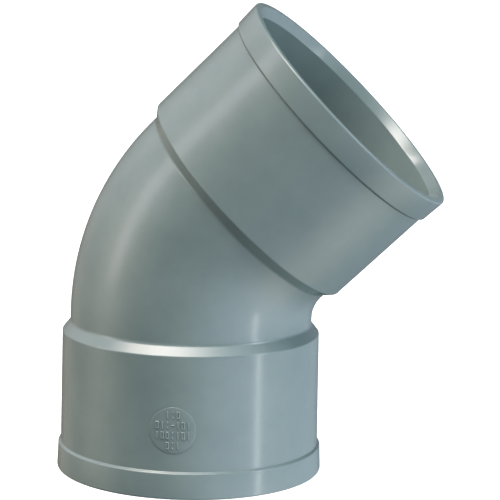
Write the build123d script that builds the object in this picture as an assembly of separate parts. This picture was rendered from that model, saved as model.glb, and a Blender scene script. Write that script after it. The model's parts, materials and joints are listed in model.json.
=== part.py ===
from build123d import *
import os
from math import cos, radians, sin, tan

os.makedirs("parts", exist_ok=True)

# A 45 degree double-socket bend for 110 mm PVC drain and irrigation pipe.
#
# Frame: the origin is the centre of the lower mouth and +Z runs up the lower socket's axis.
# The bend leans the upper socket over towards +X, and the XZ plane halves the fitting.
# The real fitting is one moulding. Each node here is one of its regions, parted from the
# next at the crease, step or ledge where the moulding changes from one job to another.

# ---- Driving dimensions, in millimetres and degrees ----
bend_angle = 45.0           # turn between the two socket axes
bend_radius = 72.0          # centreline radius of the curved tube
stub_length = 2.4           # straight tube between a shoulder and the curve
tube_wall = 3.4             # wall of the curved tube

pipe_outer_radius = 55.0    # the pipe that is glued into each socket
pipe_wall = 3.2             # that pipe's wall, which the stop ledge covers
socket_clearance = 0.15     # radial room for the solvent cement
socket_depth = 61.0         # mouth to stop ledge
socket_wall = 3.85          # wall of the sleeve around the pipe
lead_in_length = 4.4        # bevel that guides the pipe into the mouth
lead_in_depth = 2.3         # how much wider the bevel makes the bore at the mouth

stop_thickness = 2.7        # full-width ring behind the ledge
shoulder_length = 4.4       # taper from the ring down to the tube

collar_length = 12.4        # raised band around each mouth
collar_height = 1.6         # how far the band stands out from the sleeve
collar_mouth_round = 1.0    # rounded outer edge at the mouth
collar_step_round = 0.4     # rounded outer edge at the band's inner end

badge_radius = 10.4         # round marking pad on the lower sleeve
badge_centre_height = 30.9  # its centre above the mouth
badge_turn = 3.4            # its place around the sleeve, from -Y towards +X
badge_proud = 0.35          # how far it stands out from the sleeve
badge_margin = 1.2          # plain rim around the marks
mark_proud = 0.30           # how far a mark stands out from the badge
mark_stroke = 0.60          # width of a mark's raised line
mark_gap = 1.1              # space between rows of marks

# ---- Sizes that follow from them ----
socket_bore_radius = pipe_outer_radius + socket_clearance
sleeve_outer_radius = socket_bore_radius + socket_wall
collar_outer_radius = sleeve_outer_radius + collar_height
mouth_opening_radius = socket_bore_radius + lead_in_depth
waterway_radius = pipe_outer_radius - pipe_wall
tube_outer_radius = waterway_radius + tube_wall
ring_end = socket_depth + stop_thickness
shoulder_end = ring_end + shoulder_length
curve_start = shoulder_end + stub_length
leg_length = curve_start + bend_radius * tan(radians(bend_angle / 2))

# The plane that mirrors the lower leg onto the upper one: it passes through the point where
# the two socket axes cross, and through the centre of the bend.
axes_cross = Vector(0, 0, leg_length)
upper_axis = Vector(sin(radians(bend_angle)), 0, cos(radians(bend_angle)))
bisector = Plane(origin=axes_cross, z_dir=upper_axis + Vector(0, 0, 1))


def turned(outline):
    """A solid of revolution about Z, from an outline of (radius, height) corners."""
    face = make_face(Polyline(*outline, close=True))
    return revolve(Plane.XZ * face, axis=Axis.Z)


def tube_section(height):
    """The curved tube's ring-shaped section, lying level at a height."""
    return Plane.XY.offset(height) * (Circle(tube_outer_radius) - Circle(waterway_radius))


def outer_edges(part, height):
    """The edges of a turned part at a height, outermost first."""
    level = part.edges().filter_by_position(Axis.Z, height, height)
    return level.sort_by(SortBy.RADIUS, reverse=True)


# ---- One leg of the fitting ----
def mouth_collar():
    """The stiff end of the socket: a raised band outside, and the pipe's lead-in bevel inside."""
    collar = turned(
        [
            (mouth_opening_radius, 0),
            (collar_outer_radius, 0),
            (collar_outer_radius, collar_length),
            (socket_bore_radius, collar_length),
            (socket_bore_radius, lead_in_length),
        ]
    )
    collar = fillet(outer_edges(collar, 0)[0], collar_mouth_round)
    return fillet(outer_edges(collar, collar_length)[0], collar_step_round)


def socket_sleeve():
    """The plain cylinder that holds the pipe, from the collar to the stop ledge."""
    return turned(
        [
            (socket_bore_radius, collar_length),
            (sleeve_outer_radius, collar_length),
            (sleeve_outer_radius, socket_depth),
            (socket_bore_radius, socket_depth),
        ]
    )


def stop_ring():
    """The full-width ring whose inner ledge stops the pipe."""
    return turned(
        [
            (waterway_radius, socket_depth),
            (sleeve_outer_radius, socket_depth),
            (sleeve_outer_radius, ring_end),
            (waterway_radius, ring_end),
        ]
    )


def shoulder():
    """The taper from the socket's width down to the tube."""
    return turned(
        [
            (waterway_radius, ring_end),
            (sleeve_outer_radius, ring_end),
            (tube_outer_radius, shoulder_end),
            (waterway_radius, shoulder_end),
        ]
    )


# ---- The curved tube between the legs ----
def bend_tube():
    """The curve, with a short straight stub at each end."""
    lower_stub = extrude(tube_section(shoulder_end), stub_length)
    bend_axis = Axis((bend_radius, 0, curve_start), (0, 1, 0))
    curve = revolve(tube_section(curve_start), axis=bend_axis, revolution_arc=bend_angle)
    return lower_stub + curve + mirror(lower_stub, about=bisector)


# ---- The marking badge ----
def raised_skin(base_radius, height):
    """A thin cylindrical skin around the sleeve, for a raised feature to be cut from."""
    skin = Cylinder(base_radius + height, leg_length) - Cylinder(base_radius, leg_length)
    return Pos(0, 0, leg_length / 2) * skin


def raised_on(base_radius, height, outline):
    """A flat outline pressed into a raised feature that follows the sleeve's curve."""
    facing = Plane(origin=(0, 0, badge_centre_height), x_dir=(1, 0, 0), z_dir=(0, -1, 0))
    punch = extrude(facing * outline, 2 * collar_outer_radius)
    return Rot(0, 0, badge_turn) * (punch & raised_skin(base_radius, height))


def marking_badge():
    """The round pad, as deep as it stands out from the sleeve."""
    return raised_on(sleeve_outer_radius, badge_proud, Circle(badge_radius))


def bar(height):
    """One upright stroke."""
    return Rot(0, 0, 90) * SlotOverall(height, mark_stroke)


def dash(height):
    """One level stroke, half as long as an upright one."""
    return SlotOverall(height / 2, mark_stroke)


def dots(height):
    """Two dots, one above the other."""
    dot = Circle(0.75 * mark_stroke)
    return Pos(0, height / 3) * dot + Pos(0, -height / 3) * dot


def frame(height):
    """One upright open frame."""
    width = height / 2
    hollow = Rectangle(width - 2 * mark_stroke, height - 2 * mark_stroke)
    return RectangleRounded(width, height, mark_stroke / 2) - hollow


def badge_marks():
    """Four rows of plain raised marks, which stand for a size marking and say nothing."""
    rows = [
        [bar, dots, frame],
        [frame, bar, dots, dash, bar, frame, bar],
        [bar, frame, frame, dots, bar, frame, bar],
        [frame, dots, bar],
    ]
    field_radius = badge_radius - badge_margin
    row_pitch = 2 * field_radius / len(rows)
    mark_height = row_pitch - mark_gap
    column_pitch = row_pitch / 2
    badge_face_radius = sleeve_outer_radius + badge_proud
    marks = []
    for row, kinds in enumerate(rows):
        level = field_radius - (row + 0.5) * row_pitch
        for column, kind in enumerate(kinds):
            across = (column - (len(kinds) - 1) / 2) * column_pitch
            outline = Pos(across, level) * kind(mark_height)
            marks.append(raised_on(badge_face_radius, mark_proud, outline))
    return marks


def solids_of(shapes):
    """All the separate solids in a list of shapes."""
    return [solid for shape in shapes for solid in shape.solids()]


leg = {
    "mouth_collar": mouth_collar(),
    "socket_sleeve": socket_sleeve(),
    "stop_ring": stop_ring(),
    "shoulder": shoulder(),
}

nodes = {"bend_tube": bend_tube(), "marking_badge": marking_badge()}
for region, solid in leg.items():
    nodes["lower_" + region] = solid
    nodes["upper_" + region] = mirror(solid, about=bisector)
nodes["badge_marks"] = Compound(children=solids_of(badge_marks()))

for name, shape in nodes.items():
    export_step(shape, f"parts/{name}.step")
    print(name, round(shape.volume, 1), "mm3")
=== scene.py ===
# %% [markdown]
# # A moulded PVC pipe bend
# The object is one plastic moulding: two sockets for a glued pipe, joined by a curved tube that
# turns through 45 degrees. Its working parts already exist as a plain CAD model. This lesson
# loads that model as a fixed frame and then makes a finer mesh and a finish for every part, so
# nothing here may move or resize it. The frame is loaded first because every size comes from it.

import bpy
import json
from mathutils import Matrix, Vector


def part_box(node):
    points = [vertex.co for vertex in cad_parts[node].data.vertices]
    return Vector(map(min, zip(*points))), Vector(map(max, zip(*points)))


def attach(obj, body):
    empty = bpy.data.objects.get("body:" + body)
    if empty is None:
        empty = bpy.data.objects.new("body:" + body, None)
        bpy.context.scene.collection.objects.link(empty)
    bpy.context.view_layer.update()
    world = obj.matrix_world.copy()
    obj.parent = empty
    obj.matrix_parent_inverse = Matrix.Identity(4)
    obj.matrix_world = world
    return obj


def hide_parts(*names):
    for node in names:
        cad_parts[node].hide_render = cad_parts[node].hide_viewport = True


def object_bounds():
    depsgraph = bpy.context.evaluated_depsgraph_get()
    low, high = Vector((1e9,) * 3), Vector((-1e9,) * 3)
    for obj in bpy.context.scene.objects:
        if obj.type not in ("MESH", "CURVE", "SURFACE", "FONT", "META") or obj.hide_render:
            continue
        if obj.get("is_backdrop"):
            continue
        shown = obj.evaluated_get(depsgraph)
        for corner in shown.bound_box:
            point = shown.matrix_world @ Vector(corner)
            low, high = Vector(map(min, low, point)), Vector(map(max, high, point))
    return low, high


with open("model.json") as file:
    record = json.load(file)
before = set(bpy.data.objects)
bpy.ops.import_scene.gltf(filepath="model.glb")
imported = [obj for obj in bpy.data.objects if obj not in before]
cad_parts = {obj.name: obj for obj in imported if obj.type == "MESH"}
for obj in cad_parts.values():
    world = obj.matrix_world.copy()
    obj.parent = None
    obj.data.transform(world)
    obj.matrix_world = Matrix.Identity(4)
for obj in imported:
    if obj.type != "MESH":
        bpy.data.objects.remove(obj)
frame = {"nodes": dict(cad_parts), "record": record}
cad_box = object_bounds()
print("CAD nodes:", ", ".join(sorted(frame["nodes"])))

# %% [markdown]
# ## The sizes
# On the real fitting every size follows from the pipe that it takes. They could be typed in
# again here, but two copies of a number drift apart. So they are measured on the CAD nodes: the
# lower leg stands upright on the origin, and there a radius is a half width and a height is the
# distance from the mouth.

# %% Measure the lower leg
import json
from math import acos, asin, cos, hypot, pi, radians, sin, tan

import bpy
import bmesh
from mathutils import Matrix, Vector

MM = 0.001


def outer_radius(node):
    """Half the width of a CAD node that is round about the Z axis."""
    low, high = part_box(node)
    return (high.y - low.y) / 2


def hole_radius(node):
    """The smallest distance from the Z axis to a CAD node."""
    return min(hypot(v.co.x, v.co.y) for v in frame["nodes"][node].data.vertices)


def top(node):
    """How high a CAD node reaches."""
    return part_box(node)[1].z


collar_radius = outer_radius("lower_mouth_collar")
sleeve_radius = outer_radius("lower_socket_sleeve")
tube_radius = outer_radius("bend_tube")
bore_radius = hole_radius("lower_socket_sleeve")
waterway_radius = hole_radius("lower_stop_ring")
collar_end = top("lower_mouth_collar")
ledge = top("lower_socket_sleeve")
ring_end = top("lower_stop_ring")
shoulder_end = top("lower_shoulder")
print(f"collar {collar_radius / MM:.1f} mm, sleeve {sleeve_radius / MM:.1f} mm")
print(f"bore {bore_radius / MM:.2f} mm, waterway {waterway_radius / MM:.1f} mm")

# %% [markdown]
# ## The centreline
# The fitting's centreline is straight up the lower leg, then an arc, then straight again. Two
# numbers fix it: where the arc starts and its radius. The record gives the upper socket's
# direction and one point on its axis. Where that axis crosses the lower one is the corner of the
# two straight legs, and the height of the corner gives the radius of the arc that rounds it.

# %% Find the centreline
record = frame["record"]
mounts = {mount["name"]: mount for mount in record["mounts"]}
upper_axis = Vector(mounts["upper_socket_bore"]["axis"]).normalized()
bend_angle = acos(upper_axis.z)

stub_length = 2.4 * MM      # straight tube between a shoulder and the arc
curve_start = shoulder_end + stub_length

# A point on the upper axis is at height: leg + (distance from the crossing) * cos(angle).
# The same point is leg-distance * sin(angle) to the side, which gives the leg's length.
on_upper_axis = Vector(mounts["upper_socket_bore"]["pos_m"])
past_crossing = on_upper_axis.x / sin(bend_angle)
leg_length = on_upper_axis.z - past_crossing * cos(bend_angle)
bend_radius = (leg_length - curve_start) / tan(bend_angle / 2)
centreline_length = 2 * curve_start + bend_radius * bend_angle
print(f"leg {leg_length / MM:.2f} mm, bend radius {bend_radius / MM:.2f} mm")

# %% [markdown]
# ## The plastic
# The real surface is satin: the mould was polished but not to a mirror, so lights smear into
# soft bands. A plain Principled shader with one roughness looks like a computer drawing. The
# plastic here varies slightly in colour, as pigment does where the melt flowed, its roughness
# drifts over a centimetre, and two bumps give it the long ripple of shrinkage and a fine grain.
# All of it reads Object coordinates, so the pattern runs on unbroken from one part to the next.

# %% Mix the plastic
def add_node(tree, kind, **settings):
    """A new node with some of its settings changed."""
    node = tree.nodes.new(kind)
    for name, value in settings.items():
        setattr(node, name, value)
    return node


def noise_in(tree, scale, detail, roughness=0.5):
    """A noise pattern on Object coordinates. The scale is how many features fit in a metre."""
    place = add_node(tree, "ShaderNodeTexCoord")
    noise = add_node(tree, "ShaderNodeTexNoise")
    noise.inputs["Scale"].default_value = scale
    noise.inputs["Detail"].default_value = detail
    noise.inputs["Roughness"].default_value = roughness
    tree.links.new(place.outputs["Object"], noise.inputs["Vector"])
    return noise.outputs["Fac"]


def between(tree, factor, low, high):
    """A number that runs from low to high as the factor crosses the middle of its range."""
    span = add_node(tree, "ShaderNodeMapRange")
    span.inputs["From Min"].default_value = 0.3
    span.inputs["From Max"].default_value = 0.7
    span.inputs["To Min"].default_value = low
    span.inputs["To Max"].default_value = high
    tree.links.new(factor, span.inputs["Value"])
    return span.outputs["Result"]


def moulded_pvc(name, dark, light):
    """Satin grey-green PVC whose pigment drifts between a darker and a lighter shade."""
    plastic = bpy.data.materials.new(name)
    plastic.use_nodes = True
    tree = plastic.node_tree
    shader = tree.nodes["Principled BSDF"]
    shader.inputs["IOR"].default_value = 1.53

    shade = add_node(tree, "ShaderNodeMix", data_type="RGBA")
    shade.inputs["A"].default_value = (*dark, 1)
    shade.inputs["B"].default_value = (*light, 1)
    drift = between(tree, noise_in(tree, 45, 4, 0.6), 0.0, 1.0)
    tree.links.new(drift, shade.inputs["Factor"])
    tree.links.new(shade.outputs["Result"], shader.inputs["Base Color"])

    polish = between(tree, noise_in(tree, 90, 3), 0.19, 0.23)
    tree.links.new(polish, shader.inputs["Roughness"])

    ripple = add_node(tree, "ShaderNodeBump")
    ripple.inputs["Strength"].default_value = 0.25
    ripple.inputs["Distance"].default_value = 0.06 * MM
    tree.links.new(noise_in(tree, 60, 2), ripple.inputs["Height"])
    grain = add_node(tree, "ShaderNodeBump")
    grain.inputs["Strength"].default_value = 0.20
    grain.inputs["Distance"].default_value = 0.02 * MM
    tree.links.new(noise_in(tree, 2200, 3), grain.inputs["Height"])
    tree.links.new(ripple.outputs["Normal"], grain.inputs["Normal"])
    tree.links.new(grain.outputs["Normal"], shader.inputs["Normal"])
    return plastic


grey_green = moulded_pvc("grey_green_pvc", dark=(0.101, 0.141, 0.138), light=(0.119, 0.161, 0.158))
print("mixed", grey_green.name)

# %% [markdown]
# ## Building trees in a script
# Every part of the fitting follows a rule, so Geometry Nodes trees shape them all. A tree can
# be drawn by hand in the editor, but a script shows each step and can be read. Some moves come up
# in every tree: opening it with named inputs, doing sums, moving points, and closing it with
# copies made real and the material set. Each is a short function here.

# %% Write the tree helpers
def open_tree(name, inputs):
    """A Geometry Nodes tree with the named inputs, and its two end nodes."""
    tree = bpy.data.node_groups.new(name, "GeometryNodeTree")
    tree.is_modifier = True
    tree.interface.new_socket("Geometry", in_out="INPUT", socket_type="NodeSocketGeometry")
    for title, kind in inputs.items():
        tree.interface.new_socket(title, in_out="INPUT", socket_type="NodeSocket" + kind)
    tree.interface.new_socket("Geometry", in_out="OUTPUT", socket_type="NodeSocketGeometry")
    return tree, tree.nodes.new("NodeGroupInput"), tree.nodes.new("NodeGroupOutput")


def maths(tree, operation, *values):
    """A Math node. Each value is a number or another node's socket."""
    node = add_node(tree, "ShaderNodeMath", operation=operation)
    for socket, value in zip(node.inputs, values):
        if isinstance(value, (int, float)):
            socket.default_value = value
        else:
            tree.links.new(value, socket)
    return node.outputs["Value"]


def split_position(tree):
    """The X, Y and Z of each point."""
    position = tree.nodes.new("GeometryNodeInputPosition")
    split = tree.nodes.new("ShaderNodeSeparateXYZ")
    tree.links.new(position.outputs["Position"], split.inputs["Vector"])
    return split.outputs["X"], split.outputs["Y"], split.outputs["Z"]


def move_points(tree, geometry, x, y, z):
    """Puts each point at the given X, Y and Z."""
    joined = tree.nodes.new("ShaderNodeCombineXYZ")
    for socket, value in zip(joined.inputs, (x, y, z)):
        tree.links.new(value, socket)
    placed = tree.nodes.new("GeometryNodeSetPosition")
    tree.links.new(geometry, placed.inputs["Geometry"])
    tree.links.new(joined.outputs["Vector"], placed.inputs["Position"])
    return placed.outputs["Geometry"]


def close_tree(tree, geometry, material, end):
    """Ends a tree: instances made real, the material set."""
    real = tree.nodes.new("GeometryNodeRealizeInstances")
    finish = tree.nodes.new("GeometryNodeSetMaterial")
    tree.links.new(geometry, real.inputs["Geometry"])
    tree.links.new(real.outputs["Geometry"], finish.inputs["Geometry"])
    tree.links.new(material, finish.inputs["Material"])
    tree.links.new(finish.outputs["Geometry"], end.inputs["Geometry"])


print("tree helpers ready")

# %% [markdown]
# ## A tree that turns a wall and bends it
# Every part of the fitting is a wall of the same kind: a closed outline, turned round the
# centreline. Spinning an outline needs only Curve to Mesh, with a circle to sweep along. The
# bend is a second step. Each point of the straight wall knows how far up the centreline it is,
# and that fixes the angle through which it is carried round the bend's centre. One formula does
# it for all parts: the angle is clamped, so points below the arc stay and points above it go on
# straight. Geometry Nodes suit this because the rule is written once, with its sizes as inputs.

# %% Build the wall tree
def wall_tree():
    """Turns an outline about the Z axis, then bends the wall along the centreline.
    In the outline X is the distance outside the turning radius and -Y is the height."""
    tree, given, end = open_tree(
        "Turned and bent wall",
        {
            "Turning radius": "Float",
            "Steps round": "Int",
            "Curve start": "Float",
            "Bend radius": "Float",
            "Bend angle": "Float",
            "Plastic": "Material",
        },
    )
    circle = tree.nodes.new("GeometryNodeCurvePrimitiveCircle")
    outline = tree.nodes.new("GeometryNodeMeshToCurve")
    sweep = tree.nodes.new("GeometryNodeCurveToMesh")
    tree.links.new(given.outputs["Turning radius"], circle.inputs["Radius"])
    tree.links.new(given.outputs["Steps round"], circle.inputs["Resolution"])
    tree.links.new(given.outputs["Geometry"], outline.inputs["Mesh"])
    tree.links.new(circle.outputs["Curve"], sweep.inputs["Curve"])
    tree.links.new(outline.outputs["Curve"], sweep.inputs["Profile Curve"])

    start = given.outputs["Curve start"]
    radius = given.outputs["Bend radius"]
    x, y, z = split_position(tree)
    past_start = maths(tree, "SUBTRACT", z, start)
    wanted = maths(tree, "DIVIDE", past_start, radius)
    turn = maths(tree, "MINIMUM", maths(tree, "MAXIMUM", wanted, 0.0), given.outputs["Bend angle"])
    straight = maths(tree, "SUBTRACT", past_start, maths(tree, "MULTIPLY", radius, turn))
    arm = maths(tree, "SUBTRACT", radius, x)
    sine, cosine = maths(tree, "SINE", turn), maths(tree, "COSINE", turn)
    swung = maths(tree, "SUBTRACT", radius, maths(tree, "MULTIPLY", arm, cosine))
    risen = maths(tree, "ADD", start, maths(tree, "MULTIPLY", arm, sine))
    new_x = maths(tree, "ADD", swung, maths(tree, "MULTIPLY", straight, sine))
    new_z = maths(tree, "ADD", risen, maths(tree, "MULTIPLY", straight, cosine))
    bent = move_points(tree, sweep.outputs["Mesh"], new_x, y, new_z)
    close_tree(tree, bent, given.outputs["Plastic"], end)
    return tree


turned_wall = wall_tree()
print("tree", turned_wall.name, "has", len(turned_wall.nodes), "nodes")

# %% [markdown]
# ## Soft corners
# A mould has no perfectly sharp edge, and it is the small rounds that catch the light: the thin
# bright line along each step is one. An outline is drawn as its corners, each with the radius
# of its round, and the round is filled in as an arc. Drawing the rounds in the outline gives
# exact sizes, where a Bevel modifier would also round the faces that must meet the next part.

# %% Draw rounded outlines
ARC_STEPS = 7


def rounded(before, corner, after, radius):
    """The points of the arc that rounds one corner."""
    to_before = (Vector(before) - Vector(corner)).normalized()
    to_after = (Vector(after) - Vector(corner)).normalized()
    half = to_before.angle(to_after) / 2
    centre = Vector(corner) + (to_before + to_after).normalized() * (radius / sin(half))
    first = Vector(corner) + to_before * (radius / tan(half)) - centre
    last = Vector(corner) + to_after * (radius / tan(half)) - centre
    sweep_angle = pi - 2 * half
    arc = []
    for step in range(ARC_STEPS + 1):
        angle = sweep_angle * step / ARC_STEPS
        spoke = first * sin(sweep_angle - angle) + last * sin(angle)
        arc.append(centre + spoke / sin(sweep_angle))
    return arc


def soft_outline(corners):
    """A closed outline from (radius, distance along, round) corners."""
    points = []
    for index, (r, along, softness) in enumerate(corners):
        before = corners[index - 1][:2]
        after = corners[(index + 1) % len(corners)][:2]
        if softness:
            points += rounded(before, (r, along), after, softness)
        else:
            points.append(Vector((r, along)))
    return points


print("each round takes", ARC_STEPS, "steps")

# %% [markdown]
# ## From tree to plain mesh
# A finished part is a plain mesh that needs no modifier, so the tree's evaluated result is
# copied and the modifier is dropped. Drawing an outline from the other end reverses it, which
# turns a mesh inside out, so the normals of every part are worked out again. Last, the part is
# hung on the fitting's body, and the CAD nodes that it stands for are hidden.

# %% Turn a tree's result into a part
def new_object(name, mesh):
    """An object at the origin that shows a mesh."""
    made = bpy.data.objects.new(name, mesh)
    bpy.context.scene.collection.objects.link(made)
    return made


def run_tree(made, tree, sizes):
    """Runs a tree on an object and leaves the result as the object's plain mesh."""
    modifier = made.modifiers.new(tree.name, "NODES")
    modifier.node_group = tree
    for socket in tree.interface.items_tree:
        if socket.in_out == "INPUT" and socket.name in sizes:
            modifier[socket.identifier] = sizes[socket.name]
    evaluated = made.evaluated_get(bpy.context.evaluated_depsgraph_get())
    result = bpy.data.meshes.new_from_object(evaluated)
    made.modifiers.remove(modifier)
    drawn, made.data = made.data, result
    bpy.data.meshes.remove(drawn)
    result.name = made.name


def face_outwards(mesh, sharp_from=35):
    """Faces point out of the solid. Faces are smooth, apart from edges that turn sharply."""
    work = bmesh.new()
    work.from_mesh(mesh)
    bmesh.ops.recalc_face_normals(work, faces=work.faces)
    work.to_mesh(mesh)
    work.free()
    mesh.shade_smooth()
    mesh.set_sharp_from_angle(angle=radians(sharp_from))


def stands_for(made, *nodes):
    """The piece rides on the fitting's one body and is shown in place of its CAD nodes."""
    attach(made, "root")
    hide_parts(*nodes)


print("part helpers ready")

# %% [markdown]
# ## From outline to wall
# An outline becomes a loop of edges, and the tree turns and bends it. The upper leg is the lower
# one drawn from the other end of the centreline, so both legs come from one set of outlines, as
# they do in the mould.

# %% Make a wall from its outline
STEPS_ROUND = 240


def wall_part(name, corners, from_top=False):
    """A finished wall. Distances run from the lower mouth, or from the upper one."""
    points = soft_outline(corners)
    if from_top:
        points = [Vector((r, centreline_length - along)) for r, along in points]
    loop = bpy.data.meshes.new(name)
    count = len(points)
    flat = [(r - bore_radius, -along, 0) for r, along in points]
    loop.from_pydata(flat, [(i, (i + 1) % count) for i in range(count)], [])
    made = new_object(name, loop)
    run_tree(
        made,
        turned_wall,
        {
            "Turning radius": bore_radius,
            "Steps round": STEPS_ROUND,
            "Curve start": curve_start,
            "Bend radius": bend_radius,
            "Bend angle": bend_angle,
            "Plastic": grey_green,
        },
    )
    face_outwards(made.data)
    stands_for(made, name)
    print(f"{name}: {len(made.data.polygons)} faces")


print(STEPS_ROUND, "steps round each wall")

# %% [markdown]
# ## The mouth collars
# The collar is the stiff end of a socket. Outside it is a raised band that widens slightly
# towards the mouth, so that the part leaves its mould. Inside, a bevel guides the pipe in. The
# band's inner end is a small sloping step down to the sleeve, round at its top and at its foot.
# The slope is what draws the line round the socket: it faces away from the lights on the upper
# leg and towards them on the lower one. The collar is drawn to just past the foot, because a
# seam there lies in a smooth surface and doesn't show.

# %% Turn both mouth collars
draft = 0.20 * MM           # the sleeve is this much wider at the mouth, and narrower at the ledge
collar_low_flare = 0.20 * MM    # how far the band stands out at the mouth
collar_top_taper = 0.30 * MM    # how far it draws in at its step
lead_in_length = 4.4 * MM
lead_in_depth = 2.3 * MM
step_slope = 0.9 * MM       # how far the step runs along the leg while it drops
step_foot = 0.2 * MM        # concave round at its foot
collar_seam = collar_end + 0.5 * MM


def sleeve_at(along):
    """The sleeve's outer radius at a distance from the mouth."""
    share = (along - collar_end) / (ledge - collar_end)
    return sleeve_radius + draft * (1 - 2 * share)


collar_outline = [
    (bore_radius, collar_seam, 0),
    (bore_radius, lead_in_length, 1.0 * MM),
    (bore_radius + lead_in_depth, 0, 0.3 * MM),
    (collar_radius + collar_low_flare, 0, 0.9 * MM),
    (collar_radius - collar_top_taper, collar_end - step_slope, 0.5 * MM),
    (sleeve_at(collar_end), collar_end, step_foot),
    (sleeve_at(collar_seam), collar_seam, 0),
]
for leg, from_top in (("lower", False), ("upper", True)):
    wall_part(leg + "_mouth_collar", collar_outline, from_top)

# %% [markdown]
# ## The sleeves
# Between the collar and the stop ledge the socket is a plain cylinder. It looks like nothing to
# model, yet the long soft reflections live on it, so its outer side keeps the mould's slight
# draft: it widens towards the mouth by less than half a millimetre.

# %% Turn both sleeves
sleeve_outline = [
    (bore_radius, collar_seam, 0),
    (sleeve_at(collar_seam), collar_seam, 0),
    (sleeve_at(ledge), ledge, 0),
    (bore_radius, ledge, 0),
]
for leg, from_top in (("lower", False), ("upper", True)):
    wall_part(leg + "_socket_sleeve", sleeve_outline, from_top)

# %% [markdown]
# ## The stop rings and shoulders
# The pipe's end meets a ledge at the bottom of the socket. Behind it the wall is solid for a
# short way, and then a shoulder tapers down to the tube. The shoulder is drawn with both of its
# rounds, the raised one at its wide end and the hollow one at its narrow end, so its two seams
# are in smooth surface again.

# %% Turn the stop rings and the shoulders
shoulder_crown = 1.1 * MM   # round at the wide end
shoulder_foot = 2.5 * MM    # hollow round at the narrow end
ring_seam = ring_end - 0.6 * MM
foot_seam = shoulder_end + 1.2 * MM
ring_outline = [
    (waterway_radius, ledge, 0.4 * MM),
    (sleeve_at(ledge), ledge, 0),
    (sleeve_at(ring_seam), ring_seam, 0),
    (waterway_radius, ring_seam, 0),
]
shoulder_outline = [
    (waterway_radius, ring_seam, 0),
    (sleeve_at(ring_seam), ring_seam, 0),
    (sleeve_at(ring_end), ring_end, shoulder_crown),
    (tube_radius, shoulder_end, shoulder_foot),
    (tube_radius, foot_seam, 0),
    (waterway_radius, foot_seam, 0),
]
for leg, from_top in (("lower", False), ("upper", True)):
    wall_part(leg + "_stop_ring", ring_outline, from_top)
    wall_part(leg + "_shoulder", shoulder_outline, from_top)

# %% [markdown]
# ## The curved tube
# The tube's outline is two long straight lines, and a straight line can't follow a bend. So the
# lines are divided into short steps before the tree carries them round. A step for each degree
# or so keeps the outer side of the bend smooth in close-up.

# %% Turn and bend the tube
TUBE_STEPS = 56
tube_length = centreline_length - 2 * foot_seam
steps = [foot_seam + tube_length * i / TUBE_STEPS for i in range(TUBE_STEPS + 1)]
tube_outline = [(tube_radius, along, 0) for along in steps]
tube_outline += [(waterway_radius, along, 0) for along in reversed(steps)]
wall_part("bend_tube", tube_outline)

# %% [markdown]
# ## The marking badge
# A mould maker sets a round plate into the mould to stamp the size and the standard, and it
# leaves a pad a third of a millimetre proud, curved like the sleeve. Drawing it flat and then
# wrapping it round the sleeve is easier than cutting it from curved surfaces: the distance
# across becomes an angle round the axis, and the distance out becomes a radius. The wrap is a
# tree of its own, because the marks on the pad need the same one.

# %% Build the wrapping tree
def wrapping_tree():
    """Wraps a flat relief round the sleeve. X is across, Z is up and -Y is out."""
    tree, given, end = open_tree(
        "Relief wrapped round the sleeve",
        {"Sleeve radius": "Float", "Turn": "Float", "Height": "Float", "Plastic": "Material"},
    )
    radius = given.outputs["Sleeve radius"]
    x, y, z = split_position(tree)
    angle = maths(tree, "ADD", given.outputs["Turn"], maths(tree, "DIVIDE", x, radius))
    reach = maths(tree, "SUBTRACT", radius, y)
    new_x = maths(tree, "MULTIPLY", reach, maths(tree, "SINE", angle))
    inwards = maths(tree, "MULTIPLY", reach, maths(tree, "COSINE", angle))
    new_y = maths(tree, "MULTIPLY", inwards, -1.0)
    new_z = maths(tree, "ADD", z, given.outputs["Height"])
    wrapped = move_points(tree, given.outputs["Geometry"], new_x, new_y, new_z)
    close_tree(tree, wrapped, given.outputs["Plastic"], end)
    return tree


sleeve_wrap = wrapping_tree()

badge_low, badge_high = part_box("marking_badge")
badge_radius = (badge_high.z - badge_low.z) / 2
badge_height = (badge_high.z + badge_low.z) / 2
badge_turn = asin((badge_high.x + badge_low.x) / 2 / sleeve_radius)
wrap_sizes = {
    "Sleeve radius": sleeve_at(badge_height),
    "Turn": badge_turn,
    "Height": badge_height,
    "Plastic": grey_green,
}
print(f"badge {2 * badge_radius / MM:.1f} mm wide, {badge_height / MM:.1f} mm above the mouth")

# %% [markdown]
# ## The pad
# The pad is a thin disc. A cylinder from the Add menu would do, but its flat top is one face,
# and one face can't curve round the sleeve. So the disc is built from rings of points: a few
# close together where its edge is round, and more across the top and the underside. The
# function that lays faces between the rings makes the marks too.

# %% Shape the badge
def skin_loops(work, loops, closed=False):
    """Faces between loops of points, each (x, y, z). Open ends are capped."""
    rings = [[work.verts.new(point) for point in loop] for loop in loops]
    count = len(rings[0])
    pairs = list(zip(rings, rings[1:]))
    if closed:
        pairs.append((rings[-1], rings[0]))
    for lower, upper in pairs:
        for i in range(count):
            j = (i + 1) % count
            work.faces.new((lower[i], lower[j], upper[j], upper[i]))
    if not closed:
        work.faces.new(rings[0])
        work.faces.new(reversed(rings[-1]))


def disc_loop(radius, out, count=96):
    """A circle of points, at a distance out from the sleeve."""
    angles = [2 * pi * i / count for i in range(count)]
    return [(radius * cos(angle), -out, radius * sin(angle)) for angle in angles]


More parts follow.
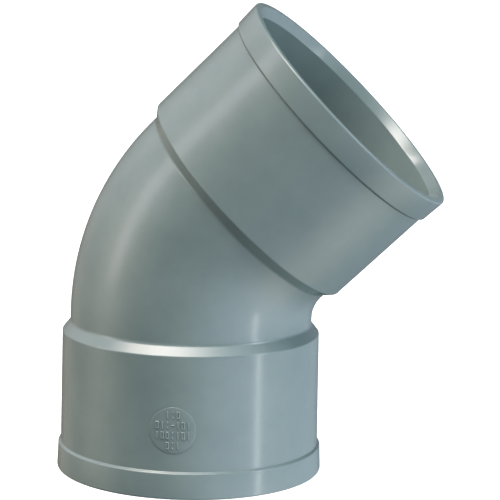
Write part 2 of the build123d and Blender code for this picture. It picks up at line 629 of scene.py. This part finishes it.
badge_proud = 0.35 * MM
sunk = 0.15 * MM            # how far a relief's base goes below the surface it stands on
flat_radius = badge_radius - 0.25 * MM
badge_edge = [
    # ring radius, distance out
    (badge_radius, -sunk),
    (badge_radius, 0.3 * badge_proud),
    (badge_radius - 0.03 * MM, 0.7 * badge_proud),
    (badge_radius - 0.12 * MM, 0.92 * badge_proud),
    (flat_radius, badge_proud),
]
FLAT_RINGS = 8
shrinking = [flat_radius * (1 - ring / FLAT_RINGS) for ring in range(1, FLAT_RINGS)]
underside = [(radius, -sunk) for radius in reversed(shrinking)]
top_side = [(radius, badge_proud) for radius in shrinking]

work = bmesh.new()
skin_loops(work, [disc_loop(radius, out) for radius, out in underside + badge_edge + top_side])
badge_mesh = bpy.data.meshes.new("marking_badge")
work.to_mesh(badge_mesh)
work.free()
badge = new_object("marking_badge", badge_mesh)
run_tree(badge, sleeve_wrap, wrap_sizes)
face_outwards(badge.data)
stands_for(badge, "marking_badge")
print("badge faces:", len(badge.data.polygons))

# %% [markdown]
# ## The kinds of mark
# The real badge carries four rows of small raised characters. Here plain strokes, dots and
# frames take their place and say nothing. A font would make real letters, and a bump map would
# look painted on from the side, so each kind of mark is modelled once as a small solid with a
# softened top. It is drawn as a few outlines above each other, like the contours of a hill.

# %% Plan the rows of marks
mark_proud = 0.40 * MM
stroke = 0.75 * MM
badge_margin = 1.2 * MM     # plain rim around the marks
row_gap = 1.1 * MM
mark_rows = [
    ["bar", "dots", "frame"],
    ["frame", "bar", "dots", "dash", "bar", "frame", "bar"],
    ["bar", "frame", "frame", "dots", "bar", "frame", "bar"],
    ["frame", "dots", "bar"],
]
field_radius = badge_radius - badge_margin
row_pitch = 2 * field_radius / len(mark_rows)
mark_height = row_pitch - row_gap
mark_layers = [
    # how far in from the mark's edge, as a share of the stroke, and how far out
    (0, -sunk),
    (0, 0.2 * mark_proud),
    (0.12, 0.7 * mark_proud),
    (0.24, 0.93 * mark_proud),
    (0.38, mark_proud),
]
print(f"{len(mark_rows)} rows, each mark {mark_height / MM:.2f} mm high")

# %% [markdown]
# ## Two shapes
# Two outlines are enough for all kinds of mark. A pill is a bar with round ends, and short ones
# serve as dots and dashes. A frame is a rectangle with round corners that is open in the middle.
# Drawing an outline in by an inset, layer by layer, is what softens its top.

# %% Model one mark of each kind
def pill_loop(long_half, short_half, inset, out, upright=True, shift=0.0, steps=8):
    """The outline of a bar with round ends, drawn in by an inset."""
    round_end = short_half - inset
    straight = long_half - short_half
    loop = []
    for end in (1, -1):
        for step in range(steps + 1):
            angle = (0 if end == 1 else pi) + pi * step / steps
            along = end * straight + round_end * sin(angle)
            across = round_end * cos(angle)
            x, z = (across, along) if upright else (along, -across)
            loop.append((x, -out, z + shift))
    return loop


def pill(work, length, upright=True, shift=0.0):
    """A raised bar with round ends."""
    loops = []
    for inset, out in mark_layers:
        loops.append(pill_loop(length / 2, stroke / 2, inset * stroke, out, upright, shift))
    skin_loops(work, loops)


def frame_loop(half_width, half_height, inset, out):
    """A rectangle with rounded corners, drawn in by an inset."""
    corner = max(stroke / 2 - inset, 0.05 * stroke)
    loop = []
    for index, (side, rise) in enumerate(((1, 1), (-1, 1), (-1, -1), (1, -1))):
        for step in range(4):
            angle = pi / 2 * (index + step / 3)
            x = side * (half_width - inset - corner) + corner * cos(angle)
            z = rise * (half_height - inset - corner) + corner * sin(angle)
            loop.append((x, -out, z))
    return loop


def open_frame(work, width, height):
    """A raised rectangular outline."""
    outer = [frame_loop(width / 2, height / 2, inset * stroke, out) for inset, out in mark_layers]
    inner = [frame_loop(width / 2, height / 2, (1 - inset) * stroke, out) for inset, out in mark_layers]
    skin_loops(work, outer + inner[::-1], closed=True)


def model_mark(kind):
    """One mark, flat, centred on the origin."""
    work = bmesh.new()
    if kind == "bar":
        pill(work, mark_height)
    if kind == "dash":
        pill(work, mark_height / 2, upright=False)
    if kind == "dots":
        for side in (1, -1):
            pill(work, 1.5 * stroke, shift=side * mark_height / 3)
    if kind == "frame":
        open_frame(work, mark_height / 2, mark_height)
    mesh = bpy.data.meshes.new(kind)
    work.to_mesh(mesh)
    work.free()
    return bpy.data.objects.new(kind, mesh)


kinds = sorted({kind for row in mark_rows for kind in row})
stamps = bpy.data.collections.new("mark stamps")
for kind in kinds:
    stamps.objects.link(model_mark(kind))
print("marks modelled:", ", ".join(kinds))

# %% [markdown]
# ## Setting the marks out
# The marks stand in rows, so their places follow a rule: one point for each mark, on a grid. The
# point carries a number that picks the kind, and a tree sets a copy of that kind on it. The
# copies are made real and wrapped round the sleeve by the same tree as the pad, so they sit on
# it exactly.

# %% Set the marks out on the badge
def setting_out_tree():
    """Puts the stamp that each point's number picks on that point."""
    tree, given, end = open_tree("Marks set out", {"Stamps": "Collection", "Plastic": "Material"})
    stamp = tree.nodes.new("GeometryNodeCollectionInfo")
    stamp.inputs["Separate Children"].default_value = True
    stamp.inputs["Reset Children"].default_value = True
    number = add_node(tree, "GeometryNodeInputNamedAttribute", data_type="INT")
    number.inputs["Name"].default_value = "kind"
    copies = tree.nodes.new("GeometryNodeInstanceOnPoints")
    copies.inputs["Pick Instance"].default_value = True
    tree.links.new(given.outputs["Stamps"], stamp.inputs["Collection"])
    tree.links.new(given.outputs["Geometry"], copies.inputs["Points"])
    tree.links.new(stamp.outputs["Instances"], copies.inputs["Instance"])
    tree.links.new(number.outputs["Attribute"], copies.inputs["Instance Index"])
    close_tree(tree, copies.outputs["Instances"], given.outputs["Plastic"], end)
    return tree


places, numbers = [], []
for row, row_kinds in enumerate(mark_rows):
    level = field_radius - (row + 0.5) * row_pitch
    for column, kind in enumerate(row_kinds):
        across = (column - (len(row_kinds) - 1) / 2) * row_pitch / 2
        places.append((across, -badge_proud, level))
        numbers.append(kinds.index(kind))

points = bpy.data.meshes.new("badge_marks")
points.from_pydata(places, [], [])
points.attributes.new("kind", "INT", "POINT").data.foreach_set("value", numbers)
marks = new_object("badge_marks", points)
run_tree(marks, setting_out_tree(), {"Stamps": stamps, "Plastic": grey_green})
run_tree(marks, sleeve_wrap, wrap_sizes)
face_outwards(marks.data)
stands_for(marks, "badge_marks")
print(len(places), "marks,", len(marks.data.polygons), "faces")

# %% [markdown]
# ## Camera
# A product picture is taken from a little above and from far away, so that the sockets look
# round and the sides parallel. The camera is aimed by naming how far it is turned and raised.
# It also has a small roll, as a camera held in the hand is never quite level.

# %% Aim the camera
camera_turn = radians(8.93)
camera_rise = radians(9.97)
camera_roll = radians(1.27)
camera_distance = 1.030
camera_target = Vector((0.0266, 0, 0.1020))
camera_lens = 163.2         # millimetres, on the default 36 mm sensor

back = Vector(
    (
        sin(camera_turn) * cos(camera_rise),
        -cos(camera_turn) * cos(camera_rise),
        sin(camera_rise),
    )
)
level_right = Vector((cos(camera_turn), sin(camera_turn), 0))
level_up = back.cross(level_right)
right = level_right * cos(camera_roll) + level_up * sin(camera_roll)
up = back.cross(right)
camera_data = bpy.data.cameras.new("camera")
camera_data.lens = camera_lens
camera = new_object("camera", camera_data)
camera.matrix_world = Matrix.Translation(camera_target + back * camera_distance) @ Matrix(
    (right, up, back)
).transposed().to_4x4()
bpy.context.scene.camera = camera
print("camera at", [round(value, 3) for value in camera.matrix_world.translation])

# %% [markdown]
# ## The floor
# Small mouldings are often stood on a light table: a pale sheet that glows a little, so that
# nothing but a breath of shadow is left under them. The floor here does the same with a weak
# emission. It doesn't light or shade the fitting, because on a real set the sheet is small and
# the dark room beyond it is what the glossy edges mirror.

# %% Lay the floor
pale = bpy.data.materials.new("pale_floor")
pale.use_nodes = True
sheet = pale.node_tree.nodes["Principled BSDF"]
sheet.inputs["Base Color"].default_value = (0.35, 0.35, 0.35, 1)
sheet.inputs["Roughness"].default_value = 1.0
sheet.inputs["Specular IOR Level"].default_value = 0.0
sheet.inputs["Emission Color"].default_value = (1, 1, 1, 1)
sheet.inputs["Emission Strength"].default_value = 0.93

reach = 12.0
floor_mesh = bpy.data.meshes.new("floor")
floor_corners = [(-reach, -reach, 0), (reach, -reach, 0), (reach, reach, 0), (-reach, reach, 0)]
floor_mesh.from_pydata(floor_corners, [], [(0, 1, 2, 3)])
floor = new_object("floor", floor_mesh)
floor.data.materials.append(pale)
floor.visible_diffuse = False
floor.visible_glossy = False
floor.visible_shadow = False
floor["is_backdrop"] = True
print("floor laid,", 2 * reach, "m across")

# %% [markdown]
# ## The soft light
# Satin plastic shows its shape by what it mirrors, so the room matters more than the lamps. Here
# the room is dark, with soft glows in it, like lamps behind big paper sheets. A glow is
# brightest in one direction and fades smoothly round it, which is a bell curve of the angle. A
# row of narrow ones overhead draws the bright gleam along the lower shoulder, and wide faint
# ones light the sides. The gaps between them give the plastic its dark bands. The camera sees a
# white backdrop instead of all this.

# %% Hang the paper sheets
world = bpy.data.worlds.new("studio")
world.use_nodes = True
room = world.node_tree
backdrop = room.nodes["Background"]


def towards(azimuth, elevation):
    """A direction from the fitting. Azimuth 0 is the -Y side and 90 the +X side."""
    turn, rise = radians(azimuth), radians(elevation)
    return Vector((sin(turn) * cos(rise), -cos(turn) * cos(rise), sin(rise)))


def glow(tree, direction, azimuth, elevation, spread, strength, tint):
    """The colour that one soft glow adds in a direction. The spread is in degrees."""
    facing = add_node(tree, "ShaderNodeVectorMath", operation="DOT_PRODUCT")
    tree.links.new(direction, facing.inputs[0])
    facing.inputs[1].default_value = towards(azimuth, elevation)
    away = maths(tree, "SUBTRACT", facing.outputs["Value"], 1.0)
    bell = maths(tree, "EXPONENT", maths(tree, "DIVIDE", away, radians(spread) ** 2))
    colour = add_node(tree, "ShaderNodeVectorMath", operation="SCALE")
    colour.inputs[0].default_value = [strength * part for part in tint]
    tree.links.new(bell, colour.inputs["Scale"])
    return colour.outputs["Vector"]


white = (1.0, 1.0, 1.0)
cool = (0.88, 1.0, 1.15)
warm = (1.12, 1.0, 0.80)
lavender = (1.05, 0.97, 1.10)
cream = (1.08, 0.98, 0.92)
glows = [
    # azimuth, elevation, spread, strength, tint
    # a row overhead
    (-64, 55, 7, 11.0, cream),
    (-38, 63, 8, 16.0, cream),
    (-6, 67, 8, 12.0, cream),
    (30, 67, 9, 6.0, white),
    # the left side
    (-118, 40, 22, 1.2, lavender),
    (-70, 30, 13, 0.8, lavender),
    (-76, 4, 16, 1.8, warm),
    (-128, -12, 16, 0.45, warm),
    # the right side
    (80, 24, 11, 4.2, cool),
    (74, 58, 14, 1.8, cool),
    (70, -24, 20, 2.4, cool),
    (34, -18, 16, 1.6, cool),
    (6, -14, 13, 0.6, white),
    (110, -22, 20, 1.4, cool),
    (150, -12, 18, 0.6, cool),
    (80, -52, 18, 1.5, warm),
]
direction = add_node(room, "ShaderNodeTexCoord").outputs["Generated"]
total = None
for settings in glows:
    one = glow(room, direction, *settings)
    if total is None:
        total = one
        continue
    both = add_node(room, "ShaderNodeVectorMath", operation="ADD")
    room.links.new(total, both.inputs[0])
    room.links.new(one, both.inputs[1])
    total = both.outputs["Vector"]

seen = add_node(room, "ShaderNodeLightPath")
shown = add_node(room, "ShaderNodeMix", data_type="RGBA")
shown.inputs["B"].default_value = (1, 1, 1, 1)
room.links.new(seen.outputs["Is Camera Ray"], shown.inputs["Factor"])
room.links.new(total, shown.inputs["A"])
room.links.new(shown.outputs["Result"], backdrop.inputs["Color"])
bpy.context.scene.world = world
print(len(glows), "soft glows")

# %% [markdown]
# ## The lamps
# Four real lamps stand among the sheets, where a reflection needs a clear edge. A narrow strip
# on the right draws the thin upright gleam that runs down the sleeve and the collar, and a tall
# one on the left draws the arc along the outer side of the bend. A small box on the right and
# one high on the left brighten the rims. They stand two metres away, and the camera can't see
# them.

# %% Hang the lamps
LAMP_DISTANCE = 2.0


def soft_box(name, azimuth, elevation, width, height, watts, tint=white):
    """A rectangular lamp that faces the fitting."""
    light = bpy.data.lights.new(name, "AREA")
    light.shape = "RECTANGLE"
    light.size, light.size_y = width, height
    light.energy = watts
    light.color = tint
    lamp = new_object(name, light)
    lamp.location = camera_target + towards(azimuth, elevation) * LAMP_DISTANCE
    lamp.rotation_euler = towards(azimuth, elevation).to_track_quat("Z", "Y").to_euler()
    lamp.visible_camera = False
    return lamp


lamps = [
    soft_box("right_strip", 72, -14, 0.08, 1.2, 3.8),
    soft_box("right_box", 78, 28, 0.4, 0.5, 4.0, cool),
    soft_box("left_strip", -74, 22, 0.50, 1.7, 4.5, lavender),
    soft_box("high_left", -95, 75, 0.50, 0.25, 8.0, cream),
]
bpy.context.scene.view_settings.view_transform = "Standard"
bpy.context.scene.cycles.use_denoising = True
print(len(lamps), "lamps,", LAMP_DISTANCE, "metres away")

# %% [markdown]
# ## Check the size and finish
# The finished mesh has to fill the same box as the CAD model.

# %% Compare the boxes and finish
visual_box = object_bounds()
growth = (visual_box[1] - visual_box[0]) - (cad_box[1] - cad_box[0])
print("grew by", [round(side / MM, 2) for side in growth], "mm")
